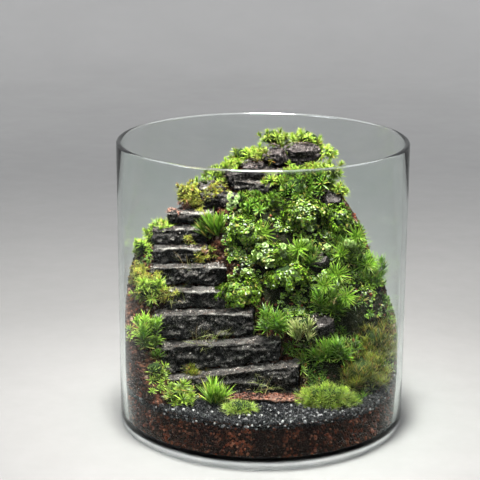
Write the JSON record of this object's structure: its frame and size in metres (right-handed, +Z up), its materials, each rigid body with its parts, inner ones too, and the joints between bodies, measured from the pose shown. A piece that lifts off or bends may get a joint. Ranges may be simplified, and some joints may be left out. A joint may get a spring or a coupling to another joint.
{
  "type": "glass plant terrarium",
  "caption": "Open cylindrical glass jar planted as a landscape: rough stone steps climb a steep mossy bank of soil above layers of gravel and clay granules.",
  "frame": {"origin": "centre of the jar's flat underside, which stands on the table", "axes": "+Z up along the jar's axis, -Y towards the front, where the stairs begin, +X to the right as seen from the front"},
  "size_m": [0.2, 0.2, 0.202],
  "materials": {
    "glass": "gloss",
    "clay_granules": "matte",
    "lava_gravel": "matte",
    "soil": "matte",
    "terracotta": "matte",
    "slab_stone": "matte",
    "rock": "matte",
    "star_moss": "matte",
    "golden_moss": "matte",
    "needle_moss": "matte",
    "leafy_moss": "satin",
    "cushion_moss": "matte",
    "brown_moss": "matte"
  },
  "bodies": {
    "root": {"black_gravel": "lava_gravel", "clay_granules": "clay_granules", "glass_jar": "glass", "moss_crest_left": "star_moss", "moss_crest_middle": "star_moss", "moss_crest_right": "star_moss", "moss_cushion_front": "cushion_moss", "moss_cushion_right": "cushion_moss", "moss_feather": "needle_moss", "moss_fuzz_low": "brown_moss", "moss_fuzz_right": "brown_moss", "moss_golden_left": "golden_moss", "moss_green_upper": "needle_moss", "moss_leafy_centre": "leafy_moss", "moss_leafy_dark": "leafy_moss", "moss_leafy_low": "leafy_moss", "moss_leafy_pale": "leafy_moss", "moss_leafy_right": "leafy_moss", "moss_leafy_side": "leafy_moss", "moss_needle_middle": "needle_moss", "moss_olive_left": "golden_moss", "moss_ridge": "star_moss", "moss_ridge_low": "star_moss", "moss_star_front": "star_moss", "moss_star_left": "star_moss", "moss_star_low": "star_moss", "moss_star_middle": "star_moss", "moss_star_side": "star_moss", "moss_star_slope": "star_moss", "moss_star_small": "star_moss", "moss_tower": "star_moss", "moss_tuft_dark": "needle_moss", "moss_tuft_front": "needle_moss", "moss_tuft_glass": "needle_moss", "moss_tuft_left": "needle_moss", "moss_tuft_mass": "needle_moss", "moss_tuft_olive": "needle_moss", "moss_tuft_right": "needle_moss", "moss_tuft_upper": "needle_moss", "path_tile": "terracotta", "rock_crest_left": "rock", "rock_crest_low": "rock", "rock_crest_top": "rock", "rock_shoulder": "rock", "rock_slope_lower": "rock", "rock_slope_middle": "rock", "rock_slope_upper": "rock", "rock_winding": "rock", "soil_bank": "soil", "stair_slab_01": "slab_stone", "stair_slab_02": "slab_stone", "stair_slab_03": "slab_stone", "stair_slab_04": "slab_stone", "stair_slab_05": "slab_stone", "stair_slab_06": "slab_stone", "stair_slab_07": "slab_stone", "stair_slab_08": "slab_stone", "stair_slab_09": "slab_stone", "stair_slab_10": "slab_stone", "stair_slab_11": "slab_stone"}
  },
  "joints": []
}
